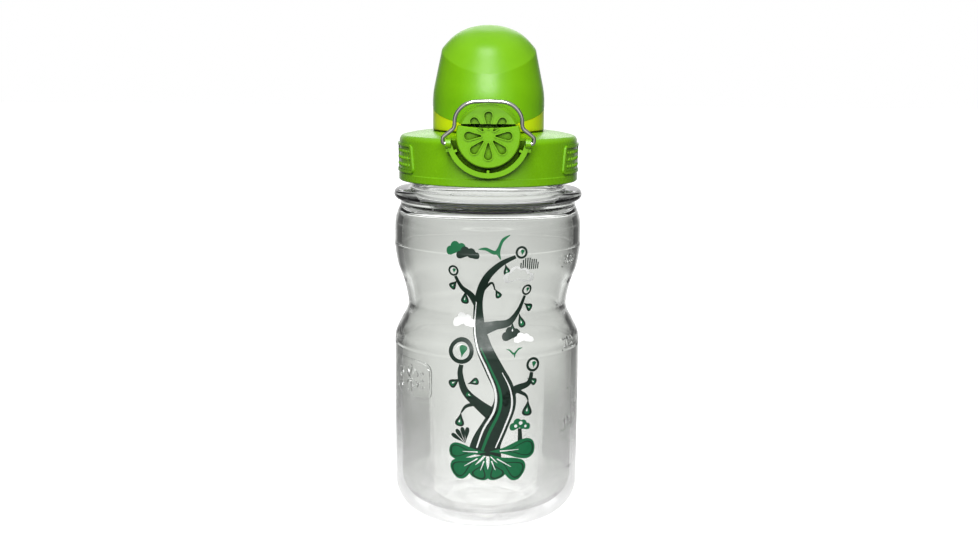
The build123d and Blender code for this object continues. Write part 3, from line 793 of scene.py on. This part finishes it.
# trunk and boughs
trunk = [
    (-0.6, 31.0),
    (0.2, 36.0),
    (3.6, 43.0),
    (6.6, 50.0),
    (6.2, 56.0),
    (2.8, 63.0),
    (-1.0, 71.0),
    (-3.4, 79.0),
    (-3.4, 88.0),
    (-0.4, 96.0),
    (4.6, 101.2),
    (10.2, 104.0),
]
dark.append(vine(trunk, [12.4, 10.6, 9.2, 8.4, 7.4, 6.6, 5.8, 4.8, 3.4, 2.8, 2.1, 1.3]))
boughs = [
    ([(-3.4, 85.0), (-6.6, 89.6), (-10.0, 92.4), (-12.0, 96.6)], [3.4, 2.4, 1.7, 1.2]),
    (
        [(-2.4, 77.0), (3.4, 78.4), (9.4, 79.4), (13.6, 83.6), (15.7, 89.0)],
        [4.8, 3.1, 2.4, 1.8, 1.2],
    ),
    ([(5.6, 50.4), (10.4, 55.4), (15.6, 57.4), (16.9, 61.4)], [4.8, 2.9, 2.0, 1.4]),
    (
        [(4.0, 45.0), (-2.8, 50.2), (-7.8, 55.0), (-9.6, 61.0), (-9.2, 64.6)],
        [5.6, 3.7, 2.8, 2.1, 1.6],
    ),
    ([(-3.0, 50.6), (-7.2, 49.4), (-9.2, 46.8)], [1.6, 1.2, 0.6]),
    ([(10.4, 55.4), (14.4, 53.2), (15.6, 51.0)], [1.7, 1.1, 0.6]),
    ([(-2.2, 91.0), (1.6, 94.4), (3.0, 91.6)], [1.4, 0.9, 0.5]),
]
for line, widths in boughs:
    dark.append(vine(line, widths))
# round fruit at the bough ends, each with a small glint
for u, z, r in (
    (12.4, 105.4, 2.3),
    (-12.6, 98.6, 2.0),
    (16.2, 91.2, 2.1),
    (17.4, 64.2, 2.7),
    (-9.4, 69.6, 4.7),
):
    dark.append(ring(u, z, r, 0.30 * r + 0.15))
    glint = [
        (u - 0.42 * r, z + 0.12 * r),
        (u - 0.2 * r, z + 0.42 * r),
        (u + 0.12 * r, z + 0.5 * r),
    ]
    white.append(vine(glint, [0.12, 0.34, 0.12]))
    mid.append(drop(u + 0.05 * r, z - 0.5 * r, 80, 0.95 * r, 0.62 * r))
# hanging drops
for u, z, angle, size in (
    (-9.2, 47.2, 262, 5.6),
    (-3.6, 52.0, 150, 4.8),
    (-9.4, 59.6, 215, 5.2),
    (-7.0, 57.6, 20, 4.4),
    (15.6, 51.6, 265, 6.4),
    (15.0, 59.4, 330, 4.4),
    (-11.4, 95.0, 225, 4.6),
    (-8.6, 91.4, 262, 5.4),
    (3.0, 92.2, 300, 4.2),
    (15.6, 86.2, 328, 4.8),
    (13.8, 82.6, 285, 5.4),
    (10.8, 79.6, 262, 4.6),
    (6.4, 101.6, 285, 4.4),
):
    dark.append(drop(u, z, angle, size, size * 0.62))
    c, s = math.cos(math.radians(angle)), math.sin(math.radians(angle))
    mid.append(drop(u + 0.38 * size * c, z + 0.38 * size * s, angle, size * 0.5, size * 0.32))
    white.append(drop(u + 0.5 * size * c, z + 0.5 * size * s, angle - 8, size * 0.24, size * 0.1))
# light grain running up the trunk
left_grain = [
    (-3.4, 34.0),
    (-1.0, 41.0),
    (2.8, 48.0),
    (3.2, 55.0),
    (0.2, 63.0),
    (-3.4, 71.0),
    (-5.1, 79.0),
    (-4.4, 87.0),
]
right_grain = [(3.4, 34.0), (6.6, 41.6), (9.2, 49.0), (8.6, 55.6), (5.6, 62.0)]
heart_grain = [(-1.4, 33.0), (1.2, 40.0), (4.8, 48.0), (4.9, 55.0), (1.6, 63.0), (-2.2, 71.0)]
white.append(vine(left_grain, [0.5, 0.7, 0.8, 0.8, 0.7, 0.6, 0.5, 0.3]))
white.append(vine(right_grain, [0.4, 0.6, 0.7, 0.5, 0.25]))
mid.append(vine(heart_grain, [1.0, 1.1, 1.0, 0.9, 0.7, 0.4]))
# bush of broad leaves at the foot
for u, z, angle, length, width in (
    (0.0, 32.4, 180, 13.8, 6.2),
    (-0.4, 31.6, 212, 14.2, 7.8),
    (0.0, 31.0, 250, 9.4, 7.2),
    (1.2, 31.0, 292, 9.4, 7.2),
    (1.2, 31.6, 328, 15.0, 8.4),
    (1.2, 32.6, 2, 17.4, 7.6),
):
    mid.append(drop(u, z, angle, length, width))
    c, s = math.cos(math.radians(angle)), math.sin(math.radians(angle))
    inner_leaf = drop(
        u + 0.3 * length * c, z + 0.3 * length * s, angle, length * 0.66, width * 0.72
    )
    dark_top.append(outline_of(inner_leaf, 0.6))
    vein = [(u + t * length * c, z + t * length * s) for t in (0.22, 0.62)]
    white.append(vine(vein, [0.5, 0.2]))
# a toadstool and a tuft in place of animals
dark.append(vine([(12.6, 36.0), (12.4, 40.8)], [1.9, 1.4]))
mid.append(cloud(12.5, 40.2, 8.2, 4.2))
for u, z, r in ((10.8, 41.8, 0.6), (12.7, 42.8, 0.7), (14.6, 41.5, 0.5)):
    white.append(disc(u, z, r, 20))
for angle in (62, 82, 104, 128):
    dark.append(drop(-7.6, 35.4, angle + 20, 6.2, 1.6))
# sky
mid.append(cloud(-10.6, 104.4, 9.0, 4.8))
dark_top.append(cloud(-7.0, 103.2, 8.6, 4.2))
mid.append(bird(3.2, 106.2, 12.4, 14))
mid.append(bird(10.0, 69.0, 6.2, -8))
dark_top.append(cloud(10.4, 73.2, 9.4, 4.4))
white.append(cloud(14.4, 72.4, 8.4, 3.2))
white.append(outline_of(cloud(12.0, 94.4, 12.2, 5.8), 1.1))
white.append(cloud(-9.6, 77.8, 9.6, 4.8))
# a cloud drawn in upright hatching
hatch_shape = cloud(16.0, 99.0, 8.2, 4.2)
hatch = []
for k in range(9):
    u = 12.3 + 0.86 * k
    tall = [p[1] for p in hatch_shape if abs(p[0] - u) < 0.6]
    if tall:
        high = max(tall)
        hatch.append([(u - 0.24, 99.1), (u + 0.24, 99.1), (u + 0.24, high), (u - 0.24, high)])

# each layer of ink lies a little above the one under it, mm
wrap("print_dark", dark, 0.05, DARK_INK)
wrap("print_mid", mid, 0.09, MID_INK)
wrap("print_top", dark_top + hatch, 0.12, DARK_INK)
wrap("print_white", white, 0.13, WHITE_INK)


# ---------------------------------------------------------------- raised marks in the clear wall
def bar(u, z, width, height):
    return [(u, z), (u + width, z), (u + width, z + height), (u, z + height)]


def figures(text, u, z, size):
    """Outlines of plain figures, each made from one stroke."""
    strokes = {
        "1": [(0.2, 0.8), (0.5, 1.0), (0.5, 0.0)],
        "0": [
            (0.5, 1.0),
            (0.14, 0.8),
            (0.08, 0.5),
            (0.14, 0.2),
            (0.5, 0.0),
            (0.86, 0.2),
            (0.92, 0.5),
            (0.86, 0.8),
            (0.5, 1.0),
        ],
        "2": [
            (0.1, 0.76),
            (0.32, 0.98),
            (0.72, 0.96),
            (0.86, 0.72),
            (0.6, 0.42),
            (0.1, 0.02),
            (0.9, 0.02),
        ],
        "3": [
            (0.12, 0.86),
            (0.5, 1.0),
            (0.84, 0.78),
            (0.5, 0.54),
            (0.88, 0.28),
            (0.5, 0.0),
            (0.1, 0.14),
        ],
    }
    made = []
    for n, char in enumerate(text):
        path = [
            (u + n * size * 0.82 + x * size * 0.62, z + y * size) for x, y in strokes[char]
        ]
        made.append(vine(path, [size * 0.15] * len(path), 5))
    return made


# long marks with their figures, then the short ones between them; heights in mm
marks = []
for level, label in ((36.5, "100"), (67.0, "200"), (98.2, "300")):
    marks.append(bar(-5.6, level, 8.2, 0.55))
    marks += figures(label, -4.8, level + 1.3, 3.2)
for level in (21.4, 52.0, 83.0):
    marks.append(bar(-1.6, level, 4.2, 0.45))
graduations = wrap(
    "raised_graduations", marks, -0.02, CLEAR, turn=math.radians(61), depth=0.45, cell=1.0
)

# a plain rounded panel with six petals and two rows of dots
EMBLEM_Z = 56.5
panel_corners = [
    (-10, 6.4),
    (0, 7.4),
    (10, 6.4),
    (11.4, 0),
    (10, -6.4),
    (0, -7.4),
    (-10, -6.4),
    (-11.4, 0),
]
panel_rim = outline_of(smooth(panel_corners, 6, True), 0.7)
emblem = [[[(u, z + EMBLEM_Z) for u, z in loop] for loop in panel_rim]]
for angle in (30, 90, 150, 210, 270, 330):
    emblem.append(drop(0.0, EMBLEM_Z, angle, 5.2, 2.3))
for side in (-1, 1):
    for k in range(3):
        emblem.append(disc(side * 6.9, EMBLEM_Z + 2.6 * (k - 1), 0.55, 16))
panel = wrap(
    "raised_emblem", emblem, -0.02, CLEAR, turn=math.radians(-53), depth=0.45, cell=1.0
)

# ---------------------------------------------------------------- stage, light, camera
floor_mesh = bpy.data.meshes.new("floor")
floor_mesh.from_pydata([(-4, -4, 0), (4, -4, 0), (4, 4, 0), (-4, 4, 0)], [], [(0, 1, 2, 3)])
floor = add("floor", floor_mesh)
paper = Graph("floor_paper")
paper_shader = paper.node(
    "BsdfPrincipled",
    Base_Color=paper.mix(paper.noise(3.0), srgb(240, 240, 240), srgb(236, 236, 236)),
    Roughness=0.8,
)
paper_path = paper.node("LightPath")
glow = paper.math("MULTIPLY", paper_path.outputs["Is Camera Ray"], FLOOR_LIFT)
paper.put(paper_shader, "Emission Strength", glow)
paper_shader.inputs["Emission Color"].default_value = (1, 1, 1, 1)
floor_mesh.materials.append(paper.finish(paper_shader.outputs[0]))
floor.visible_transmission = False
floor.visible_diffuse = False
floor.visible_glossy = False


def softbox(name, place, target, width, height, power):
    data = bpy.data.lights.new(name, "AREA")
    data.shape = "RECTANGLE"
    data.size, data.size_y = width, height
    data.energy = power
    lamp = add(name, data)
    lamp.location = place
    lamp.rotation_euler = (Vector(target) - Vector(place)).to_track_quat("-Z", "Y").to_euler()
    return lamp


middle = Vector((0, 0, (cad_lo.z + cad_hi.z) / 2))
# the key lights leave the clear shell alone, so no softbox shows in it
shiny_parts = bpy.data.collections.new("lit_by_keys")
for node_name, node in nodes.items():
    if node_name != "bottle":
        shiny_parts.objects.link(node)
for printed in (
    "print_dark",
    "print_mid",
    "print_top",
    "print_white",
    "raised_graduations",
    "raised_emblem",
    "floor",
):
    shiny_parts.objects.link(bpy.data.objects[printed])
keys = (
    softbox("key_front", (-0.04, -1.15, 0.66), middle, 0.75, 0.5, 13.0),
    softbox("key_top", (-0.06, -0.50, 0.95), middle, 0.4, 0.3, 4.0),
)
for key in keys:
    key.light_linking.receiver_collection = shiny_parts
softbox("fill_back", (0.0, 1.3, 0.8), middle, 0.8, 0.8, 2.4)


def studio_world():
    """White for the camera, soft room light for surfaces, and a card seen only through the
    clear wall: bright straight ahead, dark far out to the sides, bright again low down."""
    world = bpy.data.worlds.new("studio")
    bpy.context.scene.world = world
    world.use_nodes = True
    tree = world.node_tree
    tree.nodes.clear()
    out = tree.nodes.new("ShaderNodeOutputWorld")

    def made(kind, **settings):
        node = tree.nodes.new("ShaderNode" + kind)
        for key, value in settings.items():
            setattr(node, key, value)
        return node

    def feed(node, socket, value):
        if isinstance(value, bpy.types.NodeSocket):
            tree.links.new(value, node.inputs[socket])
        else:
            node.inputs[socket].default_value = value

    def calc(operation, a, b=0.0):
        node = made("Math", operation=operation)
        feed(node, 0, a)
        feed(node, 1, b)
        return node.outputs[0]

    def stops(degrees, points):
        node = made("ValToRGB")
        ramp = node.color_ramp
        while len(ramp.elements) < len(points):
            ramp.elements.new(0.5)
        for element, (place, level) in zip(ramp.elements, points):
            element.position = place / 180 + 0.5
            element.color = (level, level, level, 1.0)
        feed(node, 0, calc("ADD", calc("DIVIDE", degrees, 180.0), 0.5))
        return node.outputs[0]

    def smooth_step(value, low, high, to_low, to_high):
        node = made("MapRange", interpolation_type="SMOOTHSTEP")
        feed(node, "Value", value)
        for key, amount in (
            ("From Min", low),
            ("From Max", high),
            ("To Min", to_low),
            ("To Max", to_high),
        ):
            feed(node, key, amount)
        return node.outputs[0]

    coords = made("TexCoord")
    split = made("SeparateXYZ")
    feed(split, 0, coords.outputs["Generated"])
    path = made("LightPath")
    shiny = path.outputs["Is Glossy Ray"]

    def level(diffuse, gloss):
        return calc("ADD", calc("MULTIPLY", shiny, gloss - diffuse), diffuse)

    behind = smooth_step(split.outputs["Y"], 0.82, 0.97, 0.0, level(*BACKDROP))
    above = smooth_step(split.outputs["Z"], 0.25, 0.95, 0.0, level(*CEILING))
    below = smooth_step(split.outputs["Z"], -0.6, 0.0, level(*BOUNCE), 0.0)
    room = calc("ADD", calc("ADD", behind, above), calc("ADD", below, level(*ROOM)))
    facing = calc("MULTIPLY", split.outputs["Y"], -1.0)
    ahead = smooth_step(facing, 0.50, 0.80, 0.0, level(*PANEL))
    above_floor = smooth_step(split.outputs["Z"], -0.5, -0.2, 0.0, 1.0)
    room = calc("ADD", room, calc("MULTIPLY", ahead, above_floor))
    eye = made("SeparateXYZ")
    feed(eye, 0, coords.outputs["Camera"])
    sideways = calc("DEGREES", calc("ARCTAN2", eye.outputs["X"], eye.outputs["Z"]))
    rise = calc("DEGREES", calc("ARCSINE", eye.outputs["Y"]))
    tilt = calc("DEGREES", calc("ARCSINE", split.outputs["Z"]))
    middle_tilt, near, far, open_level = SIDE_BAND
    off = calc("ABSOLUTE", calc("SUBTRACT", tilt, middle_tilt))
    in_band = smooth_step(off, near, far, 1.0, 0.0)
    side = calc("MULTIPLY", calc("SUBTRACT", stops(sideways, SIDE_LIT), open_level), in_band)
    wall = calc("MULTIPLY", calc("ADD", side, open_level), smooth_step(tilt, *CARD_FALL))
    table = smooth_step(tilt, *TABLE_EDGE, TABLE_LEVEL, 0.0)
    dark = smooth_step(rise, CEILING_EDGE, CEILING_EDGE + CEILING_SOFT, 1.0, CEILING_DIM)
    card = made("Mix", data_type="RGBA")
    feed(card, 0, calc("MULTIPLY", calc("MAXIMUM", wall, table), dark))
    feed(card, 6, (0.0, 0.0, 0.0, 1.0))
    feed(card, 7, CARD_TINT)
    first = made("Mix", data_type="RGBA")
    feed(first, 0, path.outputs["Is Transmission Ray"])
    feed(first, 6, room)
    feed(first, 7, card.outputs[2])
    second = made("Mix", data_type="RGBA")
    feed(second, 0, path.outputs["Is Camera Ray"])
    feed(second, 6, first.outputs[2])
    feed(second, 7, (1, 1, 1, 1))
    background = made("Background")
    feed(background, 0, second.outputs[2])
    tree.links.new(background.outputs[0], out.inputs["Surface"])


studio_world()

camera_data = bpy.data.cameras.new("camera")
camera_data.sensor_width = SENSOR
camera_data.lens = LENS
camera = add("camera", camera_data)
camera.location = CAMERA_AT
camera.rotation_euler = (
    Matrix.Rotation(math.radians(90 - CAMERA_DIP), 3, "X")
    @ Matrix.Rotation(math.radians(CAMERA_ROLL), 3, "Z")
).to_euler()
camera_data.clip_start = 0.01
bpy.context.scene.camera = camera

bpy.context.scene.view_settings.view_transform = "Standard"
bpy.context.scene.cycles.max_bounces = 24
bpy.context.scene.cycles.transmission_bounces = 20
bpy.context.scene.cycles.caustics_refractive = False
bpy.context.scene.cycles.blur_glossy = 0.5
